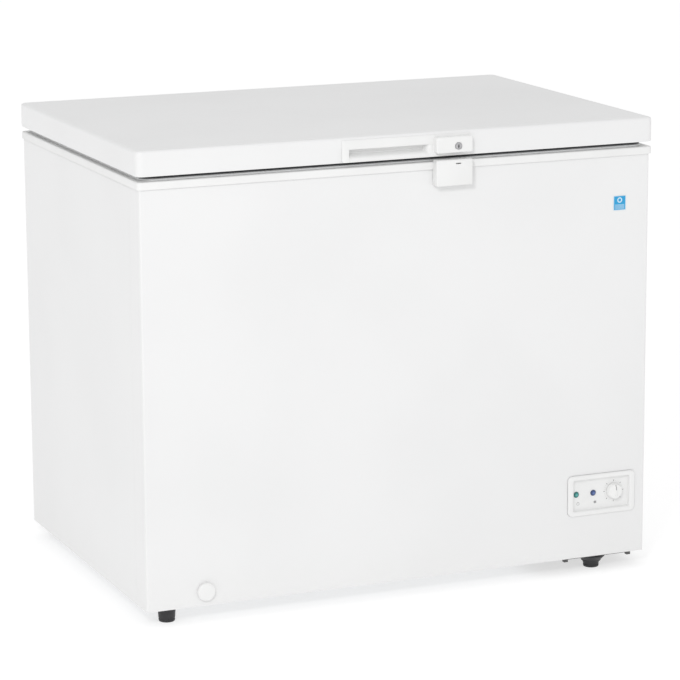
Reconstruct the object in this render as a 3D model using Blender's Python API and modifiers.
"""A chest freezer: a foamed steel cabinet with a lined tub, a sprung top lid with a lock,
a machine compartment with its compressor at the right, and a thermostat panel at the front.

Metres, +Z up, front towards -Y. The origin is on the floor, below the middle of the
object's bounding box.
"""

import math

import bmesh
import bpy
from mathutils import Vector

# Cabinet
CABINET_WIDTH = 0.980
CABINET_DEPTH = 0.660
CABINET_HEIGHT = 0.7475
FOOT_HEIGHT = 0.028
SHEET = 0.0008
CORNER_RADIUS = 0.004
FRONT_RETURN = 0.053
FOAM_WALL = 0.065
COIL_SPACE = 0.0062
RISER_SETBACK = 0.20
COIL_BEND = 0.020
LINER_WALL = 0.001

# Plastic rim, gasket space and lid
COLLAR_BAND = 0.0135
COLLAR_PROUD = 0.004
GASKET_SPACE = 0.009
GASKET_WIDTH = 0.012
GASKET_INSET = 0.013
LID_HEIGHT = 0.045
LID_OVERHANG = 0.005
LID_SHEET = 0.0008
LID_CORNER = 0.012
LID_EDGE = 0.005
LID_LINER_PLUG = 0.007
LID_LINER_WALL = 0.0015
FIELD_INSET = 0.040

# Machine compartment at the right
COMPARTMENT_WIDTH = 0.215
COMPARTMENT_HEIGHT = 0.225
TRAY_THICKNESS = 0.0015
TRAY_LIP_WIDTH = 0.130
TRAY_LIP_DROP = 0.003
TRAY_INSET = 0.0934
TRAY_TAB_DROP = 0.007
TRAY_TAB_HALF = 0.004
COMPRESSOR_RADIUS = 0.070
COMPRESSOR_HEIGHT = 0.150
GROMMET_HEIGHT = 0.014
GROMMET_RADIUS = 0.011
PIPE_RADIUS = 0.003
CAPILLARY_RADIUS = 0.0012
COMPRESSOR_SHIFT = 0.005
COMPRESSOR_SETBACK = 0.135
COMPRESSOR_LIFT = 0.004
GROMMET_SPAN_X = 0.085
GROMMET_SPAN_Y = 0.052
BASE_PLATE = 0.003
CONDENSER_RADIUS = 0.0024
CONDENSER_LOOPS = 5
EVAPORATOR_RADIUS = 0.0027
EVAPORATOR_TURNS = 6
DRIER_RADIUS = 0.009
DRIER_LENGTH = 0.075

# Feet
FOOT_TOP_RADIUS = 0.0165
FOOT_END_RADIUS = 0.0145
FOOT_SETBACK = 0.030
FOOT_LEFT_INSET = 0.047
BOSS_RADIUS = 0.026
BOSS_END_RADIUS = 0.0185
BOSS_DROP = 0.011

# Lock, latch and grip
LATCH_PROUD = 0.020
LATCH_X = 0.0915
LATCH_WIDTH = 0.0705
LATCH_BELOW_SHEET = 0.0291
LATCH_ABOVE_SHEET = 0.0175
LATCH_SLOT_DROP = 0.0082
LATCH_SLOT_HEIGHT = 0.0022
LATCH_SLOT_WIDTH = 0.010
LOCK_BLOCK_LOW = 0.0072
LOCK_BLOCK_HIGH = 0.0361
LOCK_X = 0.0987
LOCK_HEIGHT = 0.0187
LOCK_RADIUS = 0.0065
LOCK_LENGTH = 0.0085
BOLT_WIDTH = 0.016
BOLT_THICKNESS = 0.004
BOLT_TRAVEL = 0.017
BOLT_LENGTH = 0.0225
BOLT_BEHIND_LOCK = 0.0032
TRIM_PLATE = 0.0016
TRIM_LEFT = -0.1184
TRIM_HIGH = 0.0400
GRIP_LEFT = -0.1051
GRIP_RIGHT = 0.0549
GRIP_RIGHT_INNER = 0.0414
GRIP_TOP = 0.0233
GRIP_INNER_LOW = 0.0150
GRIP_LOW = 0.0020
GRIP_DEPTH = 0.016
GRIP_WALL = 0.002

# Hinges
HINGE_INSET = 0.160
HINGE_BACKSET = 0.013
HINGE_DROP = 0.006
PIN_RADIUS = 0.003
KNUCKLE_RADIUS = 0.0065
KNUCKLE_LENGTH = 0.016
SPRING_RADIUS = 0.0050
SPRING_WIRE = 0.0010
SPRING_TURNS = 8
LEAF_THICKNESS = 0.002
LEAF_DROP = 0.075
LEAF_PLATE_WIDTH = 0.060
LEAF_PLATE_REACH = 0.060
PIN_FIT = 0.00006
PIN_END = 0.012
HINGE_PROUD = 0.021

# Control panel
PANEL_INSET = 0.090
PANEL_Z = 0.1188
PANEL_WIDTH = 0.138
PANEL_HEIGHT = 0.077
PANEL_CORNER = 0.009
PANEL_PROUD = 0.004
PANEL_DEPTH = 0.0055
PANEL_RIM = 0.0115
PANEL_FLOOR = 0.0025
KNOB_INSET = 0.0623
KNOB_Z = 0.1205
KNOB_RADIUS = 0.0152
KNOB_LENGTH = 0.010
SHAFT_RADIUS = 0.003
LED_RADIUS = 0.0058
GREEN_LED_INSET = 0.1397
BLUE_LED_INSET = 0.1046

# Drain
DRAIN_INSET = 0.110
DRAIN_HEIGHT = 0.0262
DRAIN_BORE = 0.0080
DRAIN_TUBE_RADIUS = 0.0100
DRAIN_CAP_RADIUS = 0.0165
DRAIN_CAP_PROUD = 0.008
DRAIN_HOLE_SETBACK = 0.140

# Basket, label and rear cover
BASKET_WIDTH = 0.230
BASKET_DEPTH = 0.250
BASKET_WALL = 0.003
BASKET_X = -0.180
BASKET_HOOK = 0.005
BASKET_GAP = 0.010
BASKET_LIP = 0.033
LABEL_INSET = 0.0598
LABEL_DROP = 0.0867
LABEL_WIDTH = 0.025
LABEL_HEIGHT = 0.0265
LABEL_THICKNESS = 0.0004
LOUVRES = 7

# Clearances
GAP = 0.0003
RUNNING = 0.0006

# Places that follow from the sizes above
Y_SHIFT = (LATCH_PROUD - HINGE_PROUD) / 2
X_LEFT = -CABINET_WIDTH / 2
X_RIGHT = CABINET_WIDTH / 2
Y_FRONT = -CABINET_DEPTH / 2 + Y_SHIFT
Y_REAR = CABINET_DEPTH / 2 + Y_SHIFT
Y_MIDDLE = Y_SHIFT
Z_BASE = FOOT_HEIGHT
Z_PANEL_TOP = Z_BASE + CABINET_HEIGHT
Z_COLLAR = Z_PANEL_TOP + COLLAR_BAND
Z_LID = Z_COLLAR + GASKET_SPACE
Z_TOP = Z_LID + LID_HEIGHT
Y_LATCH = Y_FRONT - LATCH_PROUD
Y_LID = Y_FRONT - LID_OVERHANG
X_COMPARTMENT = X_RIGHT - COMPARTMENT_WIDTH
Z_COMPARTMENT = Z_BASE + COMPARTMENT_HEIGHT
Z_FLOOR = Z_BASE + FOAM_WALL
Z_STEP = Z_COMPARTMENT + FOAM_WALL
X_STEP = X_COMPARTMENT - FOAM_WALL
Y_PIVOT = Y_REAR + HINGE_BACKSET
Z_PIVOT = Z_LID - HINGE_DROP
TUB_LEFT = X_LEFT + FOAM_WALL
TUB_RIGHT = X_RIGHT - FOAM_WALL
TUB_FRONT = Y_FRONT + FOAM_WALL
TUB_REAR = Y_REAR - FOAM_WALL
Z_DRAIN = Z_BASE + DRAIN_HEIGHT
Y_DRAIN_HOLE = Y_FRONT + DRAIN_HOLE_SETBACK
RISER_X = TUB_RIGHT + COIL_SPACE / 2
RISER_Y = TUB_REAR - RISER_SETBACK
TRAY_CENTRE_X = X_RIGHT - TRAY_INSET
COMPRESSOR_X = X_COMPARTMENT + COMPARTMENT_WIDTH / 2 - COMPRESSOR_SHIFT
COMPRESSOR_Y = Y_REAR - COMPRESSOR_SETBACK
COMPRESSOR_Z = Z_BASE + TRAY_THICKNESS + GROMMET_HEIGHT + COMPRESSOR_LIFT
FOOT_LEFT_X = X_LEFT + FOOT_LEFT_INSET
LATCH_BOTTOM = CABINET_HEIGHT - LATCH_BELOW_SHEET
LATCH_TOP = CABINET_HEIGHT + LATCH_ABOVE_SHEET
BOLT_Y = Y_LATCH + LOCK_LENGTH + BOLT_BEHIND_LOCK
HINGE_X = X_RIGHT - HINGE_INSET
PANEL_X = X_RIGHT - PANEL_INSET
KNOB_X = X_RIGHT - KNOB_INSET
GREEN_LED_X = X_RIGHT - GREEN_LED_INSET
BLUE_LED_X = X_RIGHT - BLUE_LED_INSET
DRAIN_X = X_LEFT + DRAIN_INSET
LABEL_X = X_RIGHT - LABEL_INSET
LABEL_Z = CABINET_HEIGHT - LABEL_DROP

for leftover in list(bpy.data.objects):
    bpy.data.objects.remove(leftover)


def new_collection(name, helpers=False):
    made = bpy.data.collections.new(name)
    bpy.context.scene.collection.children.link(made)
    made.hide_render = helpers
    return made


FREEZER = new_collection("chest_freezer")
CUTTERS = new_collection("cutters", helpers=True)


def paint(name, colour, roughness, metallic=0.0):
    made = bpy.data.materials.new(name)
    made.use_nodes = True
    shader = made.node_tree.nodes["Principled BSDF"]
    shader.inputs["Base Color"].default_value = (*colour, 1.0)
    shader.inputs["Roughness"].default_value = roughness
    shader.inputs["Metallic"].default_value = metallic
    return made


# ---------------------------------------------------------------- modelling helpers


def add(name, mesh, place, material, group=None):
    """A new object with its origin at place."""
    made = bpy.data.objects.new(name, mesh)
    made.location = place
    (group or FREEZER).objects.link(made)
    if material:
        mesh.materials.append(material)
    return made


def helper(made):
    """Marks an object as a cutter or a joined shape, which is no node of its own."""
    for group in list(made.users_collection):
        group.objects.unlink(made)
    CUTTERS.objects.link(made)
    made.hide_render = True
    made.display_type = "WIRE"
    return made


def round_edges(made, width, segments=2, angle=0.6):
    bevel = made.modifiers.new("round", "BEVEL")
    bevel.width = width
    bevel.segments = segments
    bevel.limit_method = "ANGLE"
    bevel.angle_limit = angle
    return made


def box(name, low, high, material=None, bevel=0.0, segments=2):
    """A block between two corners, its origin in its middle."""
    low, high = Vector(low), Vector(high)
    made = bmesh.new()
    bmesh.ops.create_cube(made, size=1.0)
    bmesh.ops.scale(made, vec=high - low, verts=made.verts)
    mesh = bpy.data.meshes.new(name)
    made.to_mesh(mesh)
    made.free()
    obj = add(name, mesh, (low + high) / 2, material)
    return round_edges(obj, bevel, segments) if bevel else obj


def boolean(obj, tool, operation):
    step = obj.modifiers.new(tool.name, "BOOLEAN")
    step.operation = operation
    step.solver = "EXACT"
    step.object = helper(tool)
    return obj


def cut(obj, *tools):
    for tool in tools:
        boolean(obj, tool, "DIFFERENCE")
    return obj


def join(obj, *tools):
    for tool in tools:
        boolean(obj, tool, "UNION")
    return obj


def turned(name, profile, place, material=None, steps=24, toward="+Z"):
    """Spins (radius, height) points, listed from the top down, about an axis through place."""
    mesh = bpy.data.meshes.new(name)
    points = [(radius, 0.0, height) for radius, height in profile]
    mesh.from_pydata(points, [(i, i + 1) for i in range(len(points) - 1)], [])
    obj = add(name, mesh, place, material)
    spin = obj.modifiers.new("spin", "SCREW")
    spin.steps = steps
    spin.render_steps = steps
    spin.use_merge_vertices = True
    spin.merge_threshold = 1e-5
    obj.rotation_mode = "QUATERNION"
    axes = {"+Z": (0, 0, 1), "-Y": (0, -1, 0), "+Y": (0, 1, 0), "+X": (1, 0, 0)}
    obj.rotation_quaternion = Vector((0, 0, 1)).rotation_difference(Vector(axes[toward]))
    return obj


def rod(name, radius, length, place, material=None, steps=20, toward="+Z", chamfer=0.0):
    """A round bar that starts at place and runs along its axis."""
    profile = [(0, length), (radius - chamfer, length)]
    if chamfer:
        profile.append((radius, length - chamfer))
        profile.append((radius, chamfer))
    profile += [(radius - chamfer, 0), (0, 0)]
    return turned(name, profile, place, material, steps, toward)


def as_mesh(curve):
    """The curve object as a mesh object with its caps welded."""
    bpy.context.view_layer.update()
    graph = bpy.context.evaluated_depsgraph_get()
    mesh = bpy.data.meshes.new_from_object(curve.evaluated_get(graph))
    welder = bmesh.new()
    welder.from_mesh(mesh)
    bmesh.ops.remove_doubles(welder, verts=welder.verts, dist=1e-6)
    welder.to_mesh(mesh)
    welder.free()
    name, world = curve.name, curve.matrix_world.copy()
    material = curve.data.materials[0] if curve.data.materials else None
    bpy.data.objects.remove(curve)
    obj = add(name, mesh, (0, 0, 0), None)
    if material and not mesh.materials:
        mesh.materials.append(material)
    obj.matrix_world = world
    return obj


def flat_shape(name, outline, thickness, place, material=None, toward="+Z"):
    """A flat outline, extruded about its own plane; +Z lies flat and -Y faces the front."""
    curve = bpy.data.curves.new(name, "CURVE")
    curve.dimensions = "2D"
    curve.fill_mode = "BOTH"
    curve.extrude = thickness / 2
    for ring in outline:
        spline = curve.splines.new("POLY")
        spline.points.add(len(ring) - 1)
        for point, (u, v) in zip(spline.points, ring):
            point.co = (u, v, 0, 1)
        spline.use_cyclic_u = True
    obj = bpy.data.objects.new(name, curve)
    FREEZER.objects.link(obj)
    if material:
        curve.materials.append(material)
    obj.location = place
    if toward == "-Y":
        obj.rotation_euler = (math.pi / 2, 0, 0)
    if toward == "+X":
        obj.rotation_euler = (math.pi / 2, 0, math.pi / 2)
    return as_mesh(obj)


def rounded_outline(left, right, low, high, radius, steps=4):
    """A rectangle between four edges, anticlockwise, with rounded corners."""
    points = []
    for edge_x, edge_y, start in ((right, high, 0), (left, high, 90), (left, low, 180), (right, low, 270)):
        toward_x = -1 if edge_x == right else 1
        toward_y = -1 if edge_y == high else 1
        for i in range(steps + 1):
            turn = math.radians(start + 90 * i / steps)
            points.append(
                (
                    edge_x + toward_x * radius * (1 - abs(math.cos(turn))),
                    edge_y + toward_y * radius * (1 - abs(math.sin(turn))),
                )
            )
    return points


def rounded_rectangle(width, height, radius, steps=4):
    """The same about a centre at 0, 0."""
    return rounded_outline(-width / 2, width / 2, -height / 2, height / 2, radius, steps)


def rounded_path(points, radius, steps=3):
    """The points with each inner corner replaced by an arc-like blend of that radius."""
    path = [Vector(points[0])]
    for before, corner, after in zip(points, points[1:], points[2:]):
        before, corner, after = Vector(before), Vector(corner), Vector(after)
        start = corner + (before - corner).normalized() * radius
        end = corner + (after - corner).normalized() * radius
        for i in range(steps + 1):
            t = i / steps
            path.append((1 - t) ** 2 * start + 2 * t * (1 - t) * corner + t**2 * end)
    path.append(Vector(points[-1]))
    return path


def pipe(name, points, radius, material, resolution=1):
    """A solid tube along the points."""
    curve = bpy.data.curves.new(name, "CURVE")
    curve.dimensions = "3D"
    curve.bevel_depth = radius
    curve.bevel_resolution = resolution
    curve.use_fill_caps = True
    spline = curve.splines.new("POLY")
    spline.points.add(len(points) - 1)
    for target, point in zip(spline.points, points):
        target.co = (*point, 1)
    obj = bpy.data.objects.new(name, curve)
    curve.materials.append(material)
    FREEZER.objects.link(obj)
    return obj


def bent_sheet(name, plan, low, high, thickness, material, along="Z"):
    """A sheet folded along a plan line and drawn from low to high; the line is its outer face."""
    count = len(plan)
    if along == "Z":
        points = [(x, y, z) for z in (low, high) for x, y in plan]
    else:
        points = [(x, y, z) for y in (low, high) for x, z in plan]
    faces = [(i, i + 1, count + i + 1, count + i) for i in range(count - 1)]
    mesh = bpy.data.meshes.new(name)
    mesh.from_pydata(points, [], faces)
    obj = add(name, mesh, (0, 0, 0), material)
    wall = obj.modifiers.new("wall", "SOLIDIFY")
    wall.thickness = thickness
    wall.offset = -1
    return obj


# ---------------------------------------------------------------- finishes

WHITE_STEEL = paint("white_steel", (0.83, 0.84, 0.84), 0.32)
WHITE_PLASTIC = paint("white_plastic", (0.84, 0.84, 0.83), 0.38)
GREY_STEEL = paint("galvanised_steel", (0.58, 0.60, 0.62), 0.42, 0.9)
LINER_METAL = paint("embossed_liner", (0.80, 0.82, 0.83), 0.38, 0.6)
FOAM = paint("foam", (0.86, 0.78, 0.52), 0.9)
GASKET_PVC = paint("gasket_pvc", (0.11, 0.115, 0.12), 0.6)
BLACK_PLASTIC = paint("black_plastic", (0.025, 0.025, 0.027), 0.5)
BLACK_RUBBER = paint("black_rubber", (0.02, 0.02, 0.02), 0.8)
BLACK_STEEL = paint("black_enamel", (0.02, 0.02, 0.022), 0.35, 0.3)
COPPER = paint("copper", (0.72, 0.38, 0.24), 0.3, 1.0)
CHROME = paint("lock_metal", (0.62, 0.62, 0.63), 0.25, 1.0)
ZINC = paint("zinc_steel", (0.62, 0.63, 0.64), 0.35, 1.0)
GREEN_LENS = paint("green_lens", (0.02, 0.28, 0.26), 0.15)
BLUE_LENS = paint("blue_lens", (0.05, 0.11, 0.33), 0.15)
LABEL_BLUE = paint("label_film", (0.02, 0.45, 0.80), 0.4)
WIRE_COAT = paint("coated_wire", (0.86, 0.87, 0.87), 0.35)


# ---------------------------------------------------------------- cabinet panels


def front_outline():
    """The front panel's plan: left return, left corner, front, right corner, right return."""
    points = [(X_LEFT, Y_FRONT + FRONT_RETURN)]
    for centre_x, start in ((X_LEFT + CORNER_RADIUS, 180), (X_RIGHT - CORNER_RADIUS, 270)):
        for i in range(5):
            turn = math.radians(start + 90 * i / 4)
            points.append(
                (
                    centre_x + CORNER_RADIUS * math.cos(turn),
                    Y_FRONT + CORNER_RADIUS + CORNER_RADIUS * math.sin(turn),
                )
            )
    points.append((X_RIGHT, Y_FRONT + FRONT_RETURN))
    return points


def panel_opening(clearance):
    """The control panel's outline as a cutter through the front panel."""
    outline = rounded_rectangle(
        PANEL_WIDTH + 2 * clearance,
        PANEL_HEIGHT + 2 * clearance,
        PANEL_CORNER + clearance,
    )
    place = (PANEL_X, Y_FRONT, Z_BASE + PANEL_Z)
    return flat_shape("panel_opening", [outline], 0.05, place, toward="-Y")


def make_front_panel():
    panel = bent_sheet(
        "front_panel",
        front_outline(),
        Z_BASE,
        Z_PANEL_TOP - GAP,
        SHEET,
        WHITE_STEEL,
    )
    drain = rod(
        "drain_opening",
        DRAIN_TUBE_RADIUS + GAP,
        0.04,
        (DRAIN_X, Y_FRONT + 0.02, Z_DRAIN),
        toward="-Y",
    )
    cut(panel, panel_opening(GAP), drain)


def make_side_panels():
    for name, outer, inward in (("left", X_LEFT, 1), ("right", X_RIGHT, -1)):
        inner = outer + inward * SHEET
        low = (min(outer, inner), Y_FRONT + FRONT_RETURN + GAP, Z_BASE)
        high = (max(outer, inner), Y_REAR, Z_PANEL_TOP - GAP)
        box(f"side_panel_{name}", low, high, WHITE_STEEL)


def make_rear_panel():
    panel = box(
        "rear_panel",
        (X_LEFT + SHEET + GAP, Y_REAR - SHEET, Z_BASE),
        (X_RIGHT - SHEET - GAP, Y_REAR, Z_PANEL_TOP - GAP),
        GREY_STEEL,
    )
    opening = box(
        "compartment_opening",
        (X_COMPARTMENT + 0.012, Y_REAR - 0.02, Z_BASE + 0.012),
        (X_RIGHT - 0.016, Y_REAR + 0.02, Z_COMPARTMENT - 0.012),
    )
    cut(panel, opening)


def make_base_panel():
    box(
        "base_panel",
        (X_LEFT + SHEET + GAP, Y_FRONT + CORNER_RADIUS, Z_BASE),
        (X_COMPARTMENT - GAP, Y_REAR - SHEET - GAP, Z_BASE + SHEET),
        GREY_STEEL,
    )


def make_compartment_wall():
    """The folded sheet between the foam and the machine compartment."""
    plan = [
        (X_COMPARTMENT, Z_BASE + TRAY_THICKNESS + GAP),
        (X_COMPARTMENT, Z_COMPARTMENT),
        (X_RIGHT - SHEET - COIL_SPACE, Z_COMPARTMENT),
    ]
    wall = bent_sheet(
        "compartment_wall",
        plan,
        Y_FRONT + SHEET + GAP,
        Y_REAR - SHEET - GAP,
        SHEET,
        GREY_STEEL,
        along="Y",
    )
    riser = rod("riser_hole", PIPE_RADIUS + 0.002, 0.04, (RISER_X, RISER_Y, Z_COMPARTMENT - 0.02))
    cut(wall, riser)


def tub_shape(name, grow, corner, low_drop, top, material=None):
    """The stepped tub as a solid, its sides grown outwards and its floors lowered."""
    front, rear = TUB_FRONT - grow, TUB_REAR + grow
    left = TUB_LEFT - grow
    parts = (
        (name, TUB_RIGHT + grow, Z_STEP - low_drop, top),
        (f"{name}_well", X_STEP + grow, Z_FLOOR - low_drop, Z_STEP + 0.03),
    )
    solids = []
    for part, right, low, high in parts:
        outline = rounded_outline(left, right, front, rear, corner)
        place = (0, 0, (low + high) / 2)
        solids.append(flat_shape(part, [outline], high - low, place, material))
    return join(*solids)


def make_foam():
    side = SHEET + COIL_SPACE
    low, high = Z_BASE + SHEET + GAP, Z_PANEL_TOP - GAP
    outline = rounded_outline(
        X_LEFT + side,
        X_RIGHT - side,
        Y_FRONT + side,
        Y_REAR - SHEET - GAP,
        COIL_BEND * 1.25,
    )
    foam = flat_shape("foam_body", [outline], high - low, (0, 0, (low + high) / 2), FOAM)
    tub = tub_shape("tub_space", COIL_SPACE, COIL_BEND / 2, GAP, Z_COLLAR)
    compartment = box(
        "compartment_space",
        (X_COMPARTMENT - GAP, Y_FRONT - 0.01, Z_BASE - 0.01),
        (X_RIGHT + 0.01, Y_REAR + 0.01, Z_COMPARTMENT + GAP),
    )
    riser = rod("riser_bore", PIPE_RADIUS + 0.002, 0.12, (RISER_X, RISER_Y, Z_STEP - 0.1))
    cut(foam, tub, compartment, riser, *drain_bores(DRAIN_TUBE_RADIUS + GAP, 0.02))


def drain_front_bore(radius, beyond):
    """The drain's level leg as a rod, from below the tub's hole to the front."""
    return rod(
        "drain_bore_front",
        radius,
        DRAIN_HOLE_SETBACK + radius + beyond,
        (DRAIN_X, Y_DRAIN_HOLE + radius, Z_DRAIN),
        toward="-Y",
    )


def drain_bores(radius, beyond):
    """The drain's two legs as rods: one from the front, one down from the tub's floor."""
    floor = rod(
        "drain_bore_floor",
        radius,
        Z_FLOOR - Z_DRAIN + beyond,
        (DRAIN_X, Y_DRAIN_HOLE, Z_DRAIN),
    )
    return drain_front_bore(radius, beyond), floor


def make_liner():
    wall = LINER_WALL
    liner = tub_shape("inner_liner", 0, COIL_BEND, 0, Z_PANEL_TOP - GAP, LINER_METAL)
    hollow = tub_shape("liner_hollow", -wall, COIL_BEND - wall, -wall, Z_TOP)
    drain = rod("liner_drain", DRAIN_BORE, 0.04, (DRAIN_X, Y_DRAIN_HOLE, Z_FLOOR - 0.02))
    cut(liner, hollow, drain)


def make_collar():
    outer = rounded_rectangle(
        CABINET_WIDTH + 2 * COLLAR_PROUD,
        CABINET_DEPTH + 2 * COLLAR_PROUD,
        CORNER_RADIUS + COLLAR_PROUD,
        3,
    )
    opening = rounded_rectangle(
        TUB_RIGHT - TUB_LEFT - 2 * LINER_WALL,
        TUB_REAR - TUB_FRONT - 2 * LINER_WALL,
        COIL_BEND - LINER_WALL,
        4,
    )
    flat_shape(
        "collar",
        [outer, opening],
        COLLAR_BAND,
        (0, Y_MIDDLE, Z_PANEL_TOP + COLLAR_BAND / 2),
        WHITE_PLASTIC,
    )


# ---------------------------------------------------------------- feet and tray


def foot_profile(boss):
    """Top down: an optional cone-shaped boss, then the tapering foot with a rounded end."""
    top = -TRAY_LIP_DROP - GAP if boss else -GAP
    end = -FOOT_HEIGHT
    profile = [(0, top)]
    if boss:
        profile += [
            (BOSS_RADIUS, top),
            (BOSS_RADIUS, top - 0.002),
            (BOSS_END_RADIUS, top - BOSS_DROP),
        ]
        profile.append((FOOT_TOP_RADIUS, top - BOSS_DROP))
    else:
        profile.append((FOOT_TOP_RADIUS, top))
    profile += [
        (FOOT_END_RADIUS, end + 0.003),
        (FOOT_END_RADIUS - 0.001, end + 0.0008),
        (FOOT_END_RADIUS - 0.003, end),
        (0, end),
    ]
    return profile


def make_feet():
    spots = (
        ("foot_front_left", FOOT_LEFT_X, Y_FRONT + FOOT_SETBACK, False),
        ("foot_front_right", TRAY_CENTRE_X, Y_FRONT + FOOT_SETBACK, True),
        ("foot_rear_left", FOOT_LEFT_X, Y_REAR - FOOT_SETBACK, False),
        ("foot_rear_right", TRAY_CENTRE_X, Y_REAR - FOOT_SETBACK, True),
    )
    for name, x, y, boss in spots:
        turned(name, foot_profile(boss), (x, y, Z_BASE), BLACK_PLASTIC, 24)


def make_tray():
    """The compressor's tray, with a lip under the front edge and one at the rear for the feet."""
    tray = box(
        "compressor_tray",
        (X_COMPARTMENT + GAP, Y_FRONT + CORNER_RADIUS, Z_BASE),
        (X_RIGHT - SHEET - GAP, Y_REAR - SHEET - GAP, Z_BASE + TRAY_THICKNESS),
        BLACK_STEEL,
    )
    half = TRAY_LIP_WIDTH / 2
    lip_depth = 2 * FOOT_SETBACK - 0.006
    for name, low_y in (
        ("front_lip", Y_FRONT + 0.006),
        ("rear_lip", Y_REAR - 0.006 - lip_depth),
    ):
        lip = box(
            name,
            (TRAY_CENTRE_X - half, low_y, Z_BASE - TRAY_LIP_DROP),
            (TRAY_CENTRE_X + half, low_y + lip_depth, Z_BASE + TRAY_THICKNESS / 2),
        )
        join(tray, lip)
    for side in (-1, 1):
        x = TRAY_CENTRE_X + side * half
        tab = box(
            f"tab_{side}",
            (x - TRAY_TAB_HALF, Y_FRONT + TRAY_TAB_HALF, Z_BASE - TRAY_TAB_DROP),
            (x + TRAY_TAB_HALF, Y_FRONT + 3 * TRAY_TAB_HALF, Z_BASE + TRAY_THICKNESS / 2),
        )
        join(tray, tab)


# ---------------------------------------------------------------- refrigeration



def make_grommets():
    z = Z_BASE + TRAY_THICKNESS + GAP
    height = GROMMET_HEIGHT - 2 * GAP
    waist = GROMMET_RADIUS * 0.75
    profile = [
        (0, height),
        (GROMMET_RADIUS, height),
        (GROMMET_RADIUS, height * 0.65),
        (waist, height * 0.5),
        (GROMMET_RADIUS, height * 0.35),
        (GROMMET_RADIUS, 0),
        (0, 0),
    ]
    number = 1
    for side_x in (-1, 1):
        for side_y in (-1, 1):
            place = (
                COMPRESSOR_X + side_x * GROMMET_SPAN_X,
                COMPRESSOR_Y + side_y * GROMMET_SPAN_Y,
                z,
            )
            turned(f"grommet_{number}", profile, place, BLACK_RUBBER, 16)
            number += 1


def make_compressor():
    plate_low = Z_BASE + TRAY_THICKNESS + GROMMET_HEIGHT
    reach_x = GROMMET_SPAN_X + GROMMET_RADIUS
    reach_y = GROMMET_SPAN_Y + GROMMET_RADIUS
    box(
        "compressor_base",
        (COMPRESSOR_X - reach_x, COMPRESSOR_Y - reach_y, plate_low),
        (COMPRESSOR_X + reach_x, COMPRESSOR_Y + reach_y, plate_low + BASE_PLATE),
        BLACK_STEEL,
        bevel=0.001,
        segments=1,
    )
    seam = COMPRESSOR_HEIGHT * 0.62
    radius = COMPRESSOR_RADIUS
    profile = [(0, COMPRESSOR_HEIGHT)]
    for i in range(1, 7):
        turn = math.radians(90 * i / 6)
        height = COMPRESSOR_HEIGHT - 0.045 * (1 - math.cos(turn))
        profile.append(((radius - 0.003) * math.sin(turn), height))
    profile += [
        (radius - 0.003, seam + 0.003),
        (radius, seam + 0.003),
        (radius, seam - 0.003),
        (radius - 0.003, seam - 0.003),
        (radius - 0.004, 0.020),
        (radius - 0.014, 0.004),
        (radius - 0.030, 0),
        (0, 0),
    ]
    place = (COMPRESSOR_X, COMPRESSOR_Y, plate_low + BASE_PLATE + GAP)
    turned("compressor", profile, place, BLACK_STEEL, 32)


def compressor_side(angle, reach=0.0):
    """A point just off the compressor's shell, at that angle from +X."""
    turn = math.radians(angle)
    out = COMPRESSOR_RADIUS + reach
    return (
        COMPRESSOR_X + out * math.cos(turn),
        COMPRESSOR_Y + out * math.sin(turn),
    )


def make_terminal_cover():
    """The relay and terminal cover on the compressor's front side."""
    y = COMPRESSOR_Y - COMPRESSOR_RADIUS - GAP
    z = COMPRESSOR_Z + 0.045
    box(
        "terminal_cover",
        (COMPRESSOR_X - 0.026, y - 0.034, z),
        (COMPRESSOR_X + 0.026, y, z + 0.055),
        BLACK_PLASTIC,
        bevel=0.004,
    )


def make_suction_pipe():
    """From the compressor's right side up the riser to the evaporator's end."""
    start_x, start_y = compressor_side(-38, 0.001)
    low = COMPRESSOR_Z + 0.070
    points = [
        (start_x, start_y, low),
        (RISER_X, start_y - 0.03, low),
        (RISER_X, RISER_Y, low),
        (RISER_X, RISER_Y, Z_STEP - GAP),
    ]
    pipe("suction_pipe", rounded_path(points, 0.010), PIPE_RADIUS, COPPER)


def make_discharge_pipe():
    """From the compressor's left side, up the compartment, to the condenser's inlet."""
    start_x, start_y = compressor_side(150, 0.001)
    low = COMPRESSOR_Z + 0.040
    rail = X_COMPARTMENT + 0.012
    points = [
        (start_x, start_y, low),
        (rail, start_y + 0.01, low),
        (rail, start_y + 0.01, Z_COMPARTMENT - 0.018),
        (condenser_x(), start_y + 0.01, Z_COMPARTMENT - 0.018),
        (condenser_x(), start_y + 0.01, Z_COMPARTMENT + 0.02),
    ]
    pipe("discharge_pipe", rounded_path(points, 0.008), CONDENSER_RADIUS, COPPER)


def make_process_tube():
    """The pinched stub through which the compressor is charged."""
    start_x, start_y = compressor_side(35, 0.001)
    low = COMPRESSOR_Z + 0.060
    points = [
        (start_x, start_y, low),
        (start_x + 0.012, start_y + 0.012, low + 0.006),
        (start_x + 0.014, start_y + 0.016, low + 0.045),
    ]
    pipe("process_tube", rounded_path(points, 0.006), PIPE_RADIUS, COPPER)




def condenser_x():
    return X_RIGHT - SHEET - COIL_SPACE / 2


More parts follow.
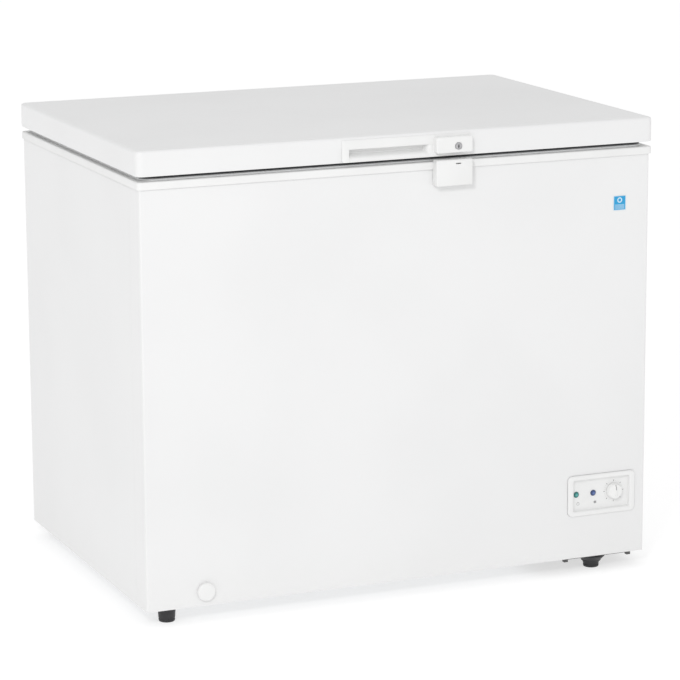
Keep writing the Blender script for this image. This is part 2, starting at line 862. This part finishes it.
def make_condenser():
    """The skin condenser: level runs behind the side and front panels, joined at their rear ends."""
    left = X_LEFT + SHEET + COIL_SPACE / 2
    right = condenser_x()
    front = Y_FRONT + SHEET + COIL_SPACE / 2
    rear = Y_REAR - 0.040
    low = Z_COMPARTMENT + 0.045
    pitch = (Z_PANEL_TOP - 0.06 - low) / (CONDENSER_LOOPS - 1)
    inlet_y = compressor_side(150, 0.001)[1] + 0.01
    points = [(right, inlet_y, Z_COMPARTMENT + 0.02 + GAP), (right, inlet_y, low)]
    side = 1
    for i in range(CONDENSER_LOOPS):
        z = low + i * pitch
        first, second = (right, left) if side > 0 else (left, right)
        if i:
            points.append((first, rear, z))
        points += [(first, front, z), (second, front, z), (second, rear, z)]
        side = -side
    pipe("condenser_coil", rounded_path(points, COIL_BEND, 2), CONDENSER_RADIUS, COPPER)


def make_evaporator():
    """The evaporator: rounds wound on the tub's walls, above the step."""
    grow = COIL_SPACE / 2
    left, right = TUB_LEFT - grow, TUB_RIGHT + grow
    front, rear = TUB_FRONT - grow, TUB_REAR + grow
    low = Z_STEP + 0.030
    pitch = (Z_PANEL_TOP - 0.07 - low) / EVAPORATOR_TURNS
    points = [(right, RISER_Y, Z_STEP + GAP), (right, RISER_Y, low)]
    for i in range(EVAPORATOR_TURNS):
        z = low + i * pitch
        points += [
            (right, rear, z),
            (left, rear, z + pitch * 0.25),
            (left, front, z + pitch * 0.5),
            (right, front, z + pitch * 0.75),
        ]
    points.append((right, rear - 0.05, z + pitch))
    pipe("evaporator_coil", rounded_path(points, COIL_BEND, 2), EVAPORATOR_RADIUS, COPPER)


def make_drier():
    """The filter drier, upright in the compartment's front left corner, with its capillary."""
    x = X_COMPARTMENT + 0.030
    y = Y_FRONT + 0.150
    z = Z_BASE + 0.060
    neck = PIPE_RADIUS
    profile = [
        (0, DRIER_LENGTH),
        (neck, DRIER_LENGTH),
        (DRIER_RADIUS, DRIER_LENGTH - 0.012),
        (DRIER_RADIUS, 0.012),
        (neck, 0),
        (0, 0),
    ]
    turned("filter_drier", profile, (x, y, z), COPPER, 16)
    turns = 4
    steps = 12
    radius = 0.014
    points = [(x, y, z - GAP), (x, y, z - 0.010)]
    for i in range(turns * steps + 1):
        turn = 2 * math.pi * i / steps
        points.append(
            (
                x + radius - radius * math.cos(turn),
                y + radius * math.sin(turn),
                z - 0.012 - 0.004 * i / steps,
            )
        )
    pipe("capillary_tube", [Vector(p) for p in points], CAPILLARY_RADIUS, COPPER)


def make_machine_cover():
    """The louvred cover that closes the compartment at the rear."""
    low_x, high_x = X_COMPARTMENT + 0.004, X_RIGHT - 0.008
    low_z, high_z = Z_BASE + 0.004, Z_COMPARTMENT - 0.004
    cover = box(
        "machine_cover",
        (low_x, Y_REAR + GAP, low_z),
        (high_x, Y_REAR + GAP + 0.0012, high_z),
        GREY_STEEL,
    )
    pitch = (high_z - low_z - 0.05) / LOUVRES
    for i in range(LOUVRES):
        z = low_z + 0.030 + i * pitch
        slot = box(
            f"louvre_{i}",
            (low_x + 0.030, Y_REAR - 0.01, z),
            (high_x - 0.030, Y_REAR + 0.02, z + 0.006),
        )
        cut(cover, slot)


# ---------------------------------------------------------------- drain


def make_drain_tube():
    front = drain_front_bore(DRAIN_TUBE_RADIUS, 0)
    front.name = "drain_tube_leg"
    leg = rod(
        "drain_tube",
        DRAIN_TUBE_RADIUS,
        Z_FLOOR - GAP - Z_DRAIN,
        (DRAIN_X, Y_DRAIN_HOLE, Z_DRAIN),
        WHITE_PLASTIC,
    )
    join(leg, front)
    cut(leg, *drain_bores(DRAIN_BORE, 0.01))


def make_drain_cap():
    """The round push-in cap at the front; its origin is at the panel's face."""
    radius = DRAIN_CAP_RADIUS
    grip = DRAIN_BORE - GAP
    profile = [
        (0, DRAIN_CAP_PROUD),
        (radius - 0.003, DRAIN_CAP_PROUD),
        (radius - 0.001, DRAIN_CAP_PROUD - 0.001),
        (radius, DRAIN_CAP_PROUD - 0.003),
        (radius, GAP),
        (grip, GAP),
        (grip, -0.012),
        (grip - 0.001, -0.013),
        (0, -0.013),
    ]
    turned("drain_cap", profile, (DRAIN_X, Y_FRONT, Z_DRAIN), WHITE_PLASTIC, 28, toward="-Y")


def make_drain_plug():
    """The rubber plug in the tub's floor, lifted by its knob."""
    top = Z_FLOOR + LINER_WALL
    plug = DRAIN_BORE - RUNNING
    profile = [
        (0, 0.014),
        (0.006, 0.014),
        (0.006, 0.010),
        (0.004, 0.008),
        (0.004, 0.004),
        (0.014, 0.003),
        (0.014, GAP),
        (plug, GAP),
        (plug - 0.001, -0.012),
        (0, -0.012),
    ]
    turned("drain_plug", profile, (DRAIN_X, Y_DRAIN_HOLE, top), BLACK_RUBBER, 24)


# ---------------------------------------------------------------- control panel


def make_control_bezel():
    """The control panel's housing: a rim round a recess with holes for shaft and lamps."""
    place = (PANEL_X, Y_FRONT - PANEL_PROUD + (PANEL_PROUD + PANEL_DEPTH) / 2, Z_BASE + PANEL_Z)
    outline = rounded_rectangle(PANEL_WIDTH, PANEL_HEIGHT, PANEL_CORNER)
    bezel = flat_shape(
        "control_bezel",
        [outline],
        PANEL_PROUD + PANEL_DEPTH,
        place,
        WHITE_PLASTIC,
        toward="-Y",
    )
    recess = flat_shape(
        "panel_recess",
        [
            rounded_rectangle(
                PANEL_WIDTH - 2 * PANEL_RIM,
                PANEL_HEIGHT - 2 * PANEL_RIM * 0.8,
                PANEL_CORNER / 2,
            )
        ],
        0.04,
        (PANEL_X, Y_FRONT + PANEL_DEPTH - PANEL_FLOOR - 0.02, Z_BASE + PANEL_Z),
        toward="-Y",
    )
    cut(bezel, recess)
    deep = Y_FRONT + PANEL_DEPTH + 0.01
    for name, x, radius in (
        ("shaft_hole", KNOB_X, SHAFT_RADIUS + RUNNING),
        ("green_hole", GREEN_LED_X, LED_RADIUS - 0.001),
        ("blue_hole", BLUE_LED_X, LED_RADIUS - 0.001),
    ):
        cut(bezel, rod(name, radius, 0.02, (x, deep, Z_BASE + KNOB_Z), toward="-Y"))


def make_lamps():
    """Two domed lamp lenses, each with a stem through the recess's floor."""
    floor = Y_FRONT + PANEL_DEPTH - PANEL_FLOOR
    stem = LED_RADIUS - 0.001 - GAP
    profile = [
        (0, 0.0032),
        (LED_RADIUS * 0.5, 0.0028),
        (LED_RADIUS * 0.85, 0.0018),
        (LED_RADIUS, GAP),
        (stem, GAP),
        (stem, -PANEL_FLOOR - 0.004),
        (0, -PANEL_FLOOR - 0.004),
    ]
    for name, x, material in (
        ("lamp_green", GREEN_LED_X, GREEN_LENS),
        ("lamp_blue", BLUE_LED_X, BLUE_LENS),
    ):
        turned(name, profile, (x, floor, Z_BASE + KNOB_Z), material, 20, toward="-Y")


def make_thermostat():
    """The thermostat's body behind the panel, its turning shaft, and the knob on it."""
    floor = Y_FRONT + PANEL_DEPTH - PANEL_FLOOR
    back = Y_FRONT + PANEL_DEPTH + GAP
    z = Z_BASE + KNOB_Z
    body = box(
        "thermostat_body",
        (KNOB_X - 0.019, back, z - 0.016),
        (KNOB_X + 0.019, back + 0.026, z + 0.016),
        ZINC,
        bevel=0.002,
        segments=1,
    )
    cut(body, rod("shaft_seat", SHAFT_RADIUS + RUNNING, 0.03, (KNOB_X, back + 0.012, z), toward="-Y"))
    shaft_start = back + 0.010
    tip = floor - 0.006
    rod("thermostat_shaft", SHAFT_RADIUS, shaft_start - tip, (KNOB_X, shaft_start, z), ZINC, 16, "-Y")
    radius = KNOB_RADIUS
    profile = [
        (0, KNOB_LENGTH),
        (radius - 0.004, KNOB_LENGTH),
        (radius - 0.002, KNOB_LENGTH - 0.002),
        (radius, RUNNING + 0.002),
        (radius, RUNNING),
        (0, RUNNING),
    ]
    knob = turned("thermostat_knob", profile, (KNOB_X, floor, z), WHITE_PLASTIC, 32, "-Y")
    ridge = box(
        "knob_ridge",
        (KNOB_X - 0.0024, floor - KNOB_LENGTH - 0.0022, z - radius + 0.004),
        (KNOB_X + 0.0024, floor - KNOB_LENGTH + 0.001, z + radius - 0.004),
    )
    socket = rod("knob_socket", SHAFT_RADIUS + GAP, 0.02, (KNOB_X, tip - GAP + 0.02, z), toward="-Y")
    join(knob, ridge)
    cut(knob, socket)


# ---------------------------------------------------------------- lid


def lid_outline(shrink=0.0, corner=None, steps=5):
    return rounded_rectangle(
        CABINET_WIDTH + 2 * (LID_OVERHANG - shrink),
        CABINET_DEPTH + 2 * (LID_OVERHANG - shrink),
        max((corner or LID_CORNER) - shrink, 0.002),
        steps,
    )


def grip_space(grow):
    """The finger recess as a cutter: a shallow wedge whose right end slants."""
    made = bmesh.new()
    bmesh.ops.create_cube(made, size=2.0)
    ahead = 0.002
    slope = (GRIP_INNER_LOW - GRIP_LOW) / GRIP_DEPTH
    for vert in made.verts:
        right, inner, high = vert.co.x > 0, vert.co.y > 0, vert.co.z > 0
        depth = GRIP_DEPTH + grow if inner else -ahead
        if right:
            x = GRIP_RIGHT_INNER if inner else GRIP_RIGHT
        else:
            x = GRIP_LEFT
        low = GRIP_LOW + slope * depth
        vert.co = (
            x + (grow if right else -grow),
            Y_LID - TRIM_PLATE + depth,
            Z_LID + (GRIP_TOP + grow if high else low - grow),
        )
    mesh = bpy.data.meshes.new("grip_space")
    made.to_mesh(mesh)
    made.free()
    return add("grip_space", mesh, (0, 0, 0), None)


def trim_pocket(clearance):
    """The room in the lid's front that the grip's pocket takes."""
    reach = GRIP_WALL + clearance
    return box(
        "trim_pocket",
        (GRIP_LEFT - reach, Y_LID - 0.01, Z_LID - 0.01 if clearance else Z_LID),
        (
            GRIP_RIGHT + reach,
            Y_LID - TRIM_PLATE + GRIP_DEPTH + reach,
            Z_LID + GRIP_TOP + reach,
        ),
    )


def lid_block(name, shrink, low, high, material=None):
    """The lid's outer form with rounded top edges, shrunk inwards, between two heights."""
    place = (0, Y_MIDDLE, (low + high) / 2)
    block = flat_shape(name, [lid_outline(shrink)], high - low, place, material)
    form = bmesh.new()
    form.from_mesh(block.data)
    bmesh.ops.dissolve_limit(form, angle_limit=0.001, verts=form.verts, edges=form.edges)
    weight = form.edges.layers.float.new("bevel_weight_edge")
    for edge in form.edges:
        upright = any(abs(face.normal.z) < 0.5 for face in edge.link_faces)
        if upright and min(vert.co.z for vert in edge.verts) > 0:
            edge[weight] = 1.0
    form.to_mesh(block.data)
    form.free()
    rounding = block.modifiers.new("round", "BEVEL")
    rounding.width = LID_EDGE - shrink
    rounding.segments = 3
    rounding.limit_method = "WEIGHT"
    return block


def make_lid_shell():
    shell = lid_block("lid_shell", 0, Z_LID, Z_TOP, WHITE_STEEL)
    hollow = lid_block("lid_hollow", LID_SHEET, Z_LID - LID_HEIGHT, Z_TOP - LID_SHEET)
    cut(shell, hollow, trim_pocket(GAP), *arm_notches())


def arm_notches():
    """The openings in the lid's rear edge that the hinge arms pass through."""
    half = KNUCKLE_LENGTH / 2 + GAP
    return [
        box(
            f"arm_notch_{side}",
            (side * HINGE_X - half, Y_REAR - 0.02, Z_LID - 0.01),
            (side * HINGE_X + half, Y_REAR + 0.03, Z_LID + LEAF_THICKNESS + 2 * GAP),
        )
        for side in (-1, 1)
    ]


def make_lid_foam():
    shrink = LID_SHEET + GAP
    foam = lid_block("lid_foam", shrink, Z_LID + LID_LINER_WALL + GAP, Z_TOP - shrink, FOAM)
    inner = LID_LINER_WALL + GAP
    filling = lid_field("field_filling", inner, Z_LID + LID_LINER_WALL + 0.002)
    join(foam, filling)
    cut(foam, trim_pocket(2 * GAP), *leaf_pockets())


def lid_field(name, shrink, top):
    """The liner's raised field over the tub, which hangs a little below the lid's edge."""
    return box(
        name,
        (
            TUB_LEFT + FIELD_INSET + shrink,
            TUB_FRONT + FIELD_INSET + shrink,
            Z_LID - LID_LINER_PLUG + shrink,
        ),
        (
            TUB_RIGHT - FIELD_INSET - shrink,
            TUB_REAR - FIELD_INSET - shrink,
            top,
        ),
    )


def leaf_pockets():
    """Room for the lid leaves' fixing plates, one at each hinge."""
    half = LEAF_PLATE_WIDTH / 2 + GAP
    return [
        box(
            f"leaf_pocket_{side}",
            (side * HINGE_X - half, Y_REAR - LEAF_PLATE_REACH - GAP, Z_LID - 0.01),
            (side * HINGE_X + half, Y_REAR + 0.03, Z_LID + LEAF_THICKNESS + 2 * GAP),
        )
        for side in (-1, 1)
    ]


def make_lid_liner():
    """The lid's inner skin: a thin sheet with a shallow field formed over the tub."""
    liner = flat_shape(
        "lid_liner",
        [lid_outline(LID_SHEET + GAP)],
        LID_LINER_WALL,
        (0, Y_MIDDLE, Z_LID + LID_LINER_WALL / 2),
        WHITE_PLASTIC,
    )
    join(liner, lid_field("lid_field", 0, Z_LID + LID_LINER_WALL / 2))
    recess = lid_field("field_recess", LID_LINER_WALL, Z_LID + 0.01)
    cut(liner, recess, trim_pocket(2 * GAP), *leaf_pockets())


def make_gasket():
    outer = lid_outline(GASKET_INSET, LID_CORNER + GASKET_INSET)
    inner = lid_outline(GASKET_INSET + GASKET_WIDTH, LID_CORNER + GASKET_INSET + GASKET_WIDTH)
    flat_shape(
        "lid_gasket",
        [outer, inner],
        GASKET_SPACE - 2 * GAP,
        (0, Y_MIDDLE, Z_COLLAR + GASKET_SPACE / 2),
        GASKET_PVC,
    )


def make_handle_trim():
    """The moulded grip and lock housing: a thin plate with a pocket behind and the lock block."""
    face = Y_LID - TRIM_PLATE
    right = LATCH_X + LATCH_WIDTH / 2
    trim = box(
        "handle_trim",
        (TRIM_LEFT, face, Z_LID + 0.0005),
        (right, Y_LID - GAP, Z_LID + TRIM_HIGH),
        WHITE_PLASTIC,
        bevel=0.0006,
        segments=1,
    )
    reach = GRIP_WALL
    pocket = box(
        "grip_pocket",
        (GRIP_LEFT - reach, Y_LID - TRIM_PLATE / 2, Z_LID + 0.0005),
        (GRIP_RIGHT + reach, face + GRIP_DEPTH + reach, Z_LID + GRIP_TOP + reach),
    )
    block = box(
        "lock_block",
        (LATCH_X - LATCH_WIDTH / 2, Y_LATCH, Z_LID + LOCK_BLOCK_LOW),
        (right, Y_LID - TRIM_PLATE / 2, Z_LID + LOCK_BLOCK_HIGH),
        bevel=0.0022,
        segments=2,
    )
    join(trim, pocket, block)
    bolt_room = box(
        "bolt_room",
        (
            LOCK_X - BOLT_WIDTH / 2 - RUNNING,
            BOLT_Y - BOLT_THICKNESS / 2 - RUNNING,
            Z_LID + LOCK_BLOCK_LOW - 0.01,
        ),
        (
            LOCK_X + BOLT_WIDTH / 2 + RUNNING,
            BOLT_Y + BOLT_THICKNESS / 2 + RUNNING,
            Z_LID + LOCK_BLOCK_LOW + BOLT_LENGTH + 0.002,
        ),
    )
    barrel = rod(
        "barrel_bore",
        LOCK_RADIUS + GAP,
        LOCK_LENGTH + 0.01,
        (LOCK_X, Y_LATCH + LOCK_LENGTH + 0.001, Z_LID + LOCK_HEIGHT),
        toward="-Y",
        steps=28,
    )
    cut(trim, grip_space(0), bolt_room, barrel)




def make_lock():
    """The key cylinder, its origin on its own axis, and the bolt that it drives down."""
    place = (LOCK_X, Y_LATCH + LOCK_LENGTH, Z_LID + LOCK_HEIGHT)
    ring = LOCK_RADIUS
    profile = [
        (0, LOCK_LENGTH + 0.0006),
        (ring - 0.0020, LOCK_LENGTH + 0.0006),
        (ring - 0.0016, LOCK_LENGTH + 0.0012),
        (ring - 0.0006, LOCK_LENGTH + 0.0012),
        (ring, LOCK_LENGTH + 0.0006),
        (ring, GAP),
        (0, GAP),
    ]
    cylinder = turned("lock_cylinder", profile, place, CHROME, 28, "-Y")
    keyway = box(
        "keyway",
        (LOCK_X - 0.0007, Y_LATCH - 0.005, Z_LID + LOCK_HEIGHT - 0.0032),
        (LOCK_X + 0.0007, Y_LATCH + 0.005, Z_LID + LOCK_HEIGHT + 0.0032),
    )
    cut(cylinder, keyway)
    low = Z_LID + LOCK_BLOCK_LOW + 0.0004
    box(
        "lock_bolt",
        (LOCK_X - BOLT_WIDTH / 2, BOLT_Y - BOLT_THICKNESS / 2, low),
        (LOCK_X + BOLT_WIDTH / 2, BOLT_Y + BOLT_THICKNESS / 2, low + BOLT_LENGTH),
        ZINC,
        bevel=0.0008,
        segments=1,
    )


def make_latch_receiver():
    """The keeper on the cabinet's front, which the bolt drops into."""
    half = LATCH_WIDTH / 2
    receiver = box(
        "latch_receiver",
        (LATCH_X - half, Y_LATCH, Z_BASE + LATCH_BOTTOM),
        (LATCH_X + half, Y_FRONT - GAP, Z_BASE + LATCH_TOP),
        WHITE_PLASTIC,
        bevel=0.0022,
        segments=2,
    )
    rim = box(
        "rim_relief",
        (LATCH_X - 0.1, Y_FRONT - COLLAR_PROUD - GAP, Z_PANEL_TOP - GAP),
        (LATCH_X + 0.1, Y_FRONT + 0.01, Z_COLLAR + 0.02),
    )
    seat = box(
        "bolt_seat",
        (
            LOCK_X - BOLT_WIDTH / 2 - 0.001,
            BOLT_Y - BOLT_THICKNESS / 2 - 0.001,
            Z_BASE + LATCH_TOP - 0.014,
        ),
        (
            LOCK_X + BOLT_WIDTH / 2 + 0.001,
            BOLT_Y + BOLT_THICKNESS / 2 + 0.001,
            Z_BASE + LATCH_TOP + 0.01,
        ),
    )
    slot_low = Z_BASE + LATCH_TOP - LATCH_SLOT_DROP
    window = box(
        "bolt_window",
        (LOCK_X - LATCH_SLOT_WIDTH / 2, Y_LATCH - 0.01, slot_low),
        (LOCK_X + LATCH_SLOT_WIDTH / 2, BOLT_Y, slot_low + LATCH_SLOT_HEIGHT),
    )
    cut(receiver, rim, seat, window)


# ---------------------------------------------------------------- hinges


def make_hinge(tag, centre):
    """One rear hinge: the cabinet's leaf, the lid's leaf and the pin through both."""
    half = KNUCKLE_LENGTH / 2
    outer = half + KNUCKLE_LENGTH + RUNNING
    make_cabinet_leaf(f"hinge_{tag}_cabinet_leaf", centre, half, outer)
    make_lid_leaf(f"hinge_{tag}_lid_leaf", centre, half)
    reach = outer + PIN_END
    place = (centre - reach, Y_PIVOT, Z_PIVOT)
    rod(f"hinge_{tag}_pin", PIN_RADIUS, 2 * reach, place, ZINC, 16, "+X", chamfer=0.0005)


def pin_bore(centre, reach):
    place = (centre - reach, Y_PIVOT, Z_PIVOT)
    return rod("pin_bore", PIN_RADIUS + PIN_FIT, 2 * reach, place, toward="+X")


def make_cabinet_leaf(name, centre, half, outer):
    """A folded plate screwed to the rear panel, carrying the two outer knuckles."""
    face = Y_REAR + COLLAR_PROUD + GAP
    low = Z_PIVOT - LEAF_DROP
    web = Z_PIVOT - KNUCKLE_RADIUS
    profile = [
        (Y_REAR + GAP, low),
        (face + LEAF_THICKNESS, low),
        (face + LEAF_THICKNESS, web),
        (Y_PIVOT, web),
        (Y_PIVOT, Z_PIVOT),
        (face, Z_PIVOT),
        (face, Z_PANEL_TOP - 0.006),
        (Y_REAR + GAP, Z_PANEL_TOP - 0.006),
    ]
    width = 2 * (outer - GAP)
    leaf = flat_shape(name, [profile], width, (centre, 0, 0), ZINC, toward="+X")
    knuckles = rod(
        f"{name}_knuckles",
        KNUCKLE_RADIUS,
        2 * outer,
        (centre - outer, Y_PIVOT, Z_PIVOT),
        toward="+X",
    )
    middle = box(
        f"{name}_middle",
        (centre - half - RUNNING, face - 0.01, web - 0.001),
        (centre + half + RUNNING, Y_PIVOT + 0.02, Z_PIVOT + 0.02),
    )
    join(leaf, knuckles)
    cut(leaf, middle, pin_bore(centre, outer + 0.01))


def make_lid_leaf(name, centre, half):
    """A plate under the lid's foam, with an arm that comes out at the rear to the knuckle."""
    low = Z_LID + GAP
    high = low + LEAF_THICKNESS
    plate = box(
        name,
        (centre - LEAF_PLATE_WIDTH / 2, Y_REAR - LEAF_PLATE_REACH, low),
        (
            centre + LEAF_PLATE_WIDTH / 2,
            Y_REAR + LID_OVERHANG - LID_SHEET - 2 * GAP,
            high,
        ),
        ZINC,
    )
    thin = 0.0002
    profile = [
        (Y_REAR - LEAF_PLATE_REACH / 3, low + thin),
        (Y_PIVOT - LEAF_THICKNESS, low + thin),
        (Y_PIVOT - LEAF_THICKNESS, Z_PIVOT),
        (Y_PIVOT, Z_PIVOT),
        (Y_PIVOT, high - thin),
        (Y_REAR - LEAF_PLATE_REACH / 3, high - thin),
    ]
    width = 2 * (half - GAP)
    arm = flat_shape(f"{name}_arm", [profile], width, (centre, 0, 0), toward="+X")
    knuckle = rod(
        f"{name}_knuckle",
        KNUCKLE_RADIUS,
        2 * half,
        (centre - half, Y_PIVOT, Z_PIVOT),
        toward="+X",
    )
    join(plate, arm, knuckle)
    cut(plate, pin_bore(centre, half + 0.01))


def make_hinge_springs():
    """A torsion spring outside each hinge's outer knuckle, wound round the pin's end."""
    for tag, centre in (("left", -HINGE_X), ("right", HINGE_X)):
        start = centre + KNUCKLE_LENGTH * 1.5 + RUNNING + 0.002
        points = []
        steps = 10
        for i in range(SPRING_TURNS // 2 * steps + 1):
            turn = 2 * math.pi * i / steps
            points.append(
                Vector(
                    (
                        start + 2.3 * SPRING_WIRE * i / steps,
                        Y_PIVOT + SPRING_RADIUS * math.cos(turn),
                        Z_PIVOT + SPRING_RADIUS * math.sin(turn),
                    )
                )
            )
        points.append(points[-1] + Vector((0, 0, -0.030)))
        pipe(f"hinge_{tag}_spring", points, SPRING_WIRE, ZINC)


# ---------------------------------------------------------------- basket and label


def make_basket():
    """The hanging basket's outer shape: an open box whose front and rear hooks lie on the rim."""
    low_z = Z_COLLAR - BASKET_DEPTH
    ends_top = Z_PANEL_TOP - 0.012
    hook_low = Z_COLLAR + GAP
    hook_top = hook_low + BASKET_HOOK
    front = TUB_FRONT + LINER_WALL + BASKET_GAP
    rear = TUB_REAR - LINER_WALL - BASKET_GAP
    wall = BASKET_WALL
    profile = [
        (front - BASKET_LIP, hook_top),
        (front - BASKET_LIP, hook_low),
        (front, hook_low),
        (front, low_z),
        (rear, low_z),
        (rear, hook_low),
        (rear + BASKET_LIP, hook_low),
        (rear + BASKET_LIP, hook_top),
        (rear - wall, hook_top),
        (rear - wall, low_z + wall),
        (front + wall, low_z + wall),
        (front + wall, hook_top),
    ]
    place = (BASKET_X, 0, 0)
    basket = flat_shape("wire_basket", [profile], BASKET_WIDTH, place, WIRE_COAT, toward="+X")
    for side in (-1, 1):
        outer = BASKET_X + side * (BASKET_WIDTH / 2 - 0.001)
        inner = outer - side * wall
        end = box(
            f"basket_end_{side}",
            (min(outer, inner), front + wall / 2, low_z + wall / 2),
            (max(outer, inner), rear - wall / 2, ends_top),
        )
        join(basket, end)


def make_label():
    box(
        "rating_label",
        (LABEL_X - LABEL_WIDTH / 2, Y_FRONT - GAP - LABEL_THICKNESS, Z_BASE + LABEL_Z - LABEL_HEIGHT / 2),
        (LABEL_X + LABEL_WIDTH / 2, Y_FRONT - GAP, Z_BASE + LABEL_Z + LABEL_HEIGHT / 2),
        LABEL_BLUE,
    )


make_front_panel()
make_side_panels()
make_rear_panel()
make_base_panel()
make_compartment_wall()
make_foam()
make_liner()
make_collar()
make_feet()
make_tray()
make_grommets()
make_compressor()
make_terminal_cover()
make_suction_pipe()
make_discharge_pipe()
make_process_tube()
make_condenser()
make_evaporator()
make_drier()
make_machine_cover()
make_drain_tube()
make_drain_cap()
make_drain_plug()
make_control_bezel()
make_lamps()
make_thermostat()
make_lid_shell()
make_lid_foam()
make_lid_liner()
make_gasket()
make_handle_trim()
make_lock()
make_latch_receiver()
make_hinge("left", -HINGE_X)
make_hinge("right", HINGE_X)
make_hinge_springs()
make_basket()
make_label()
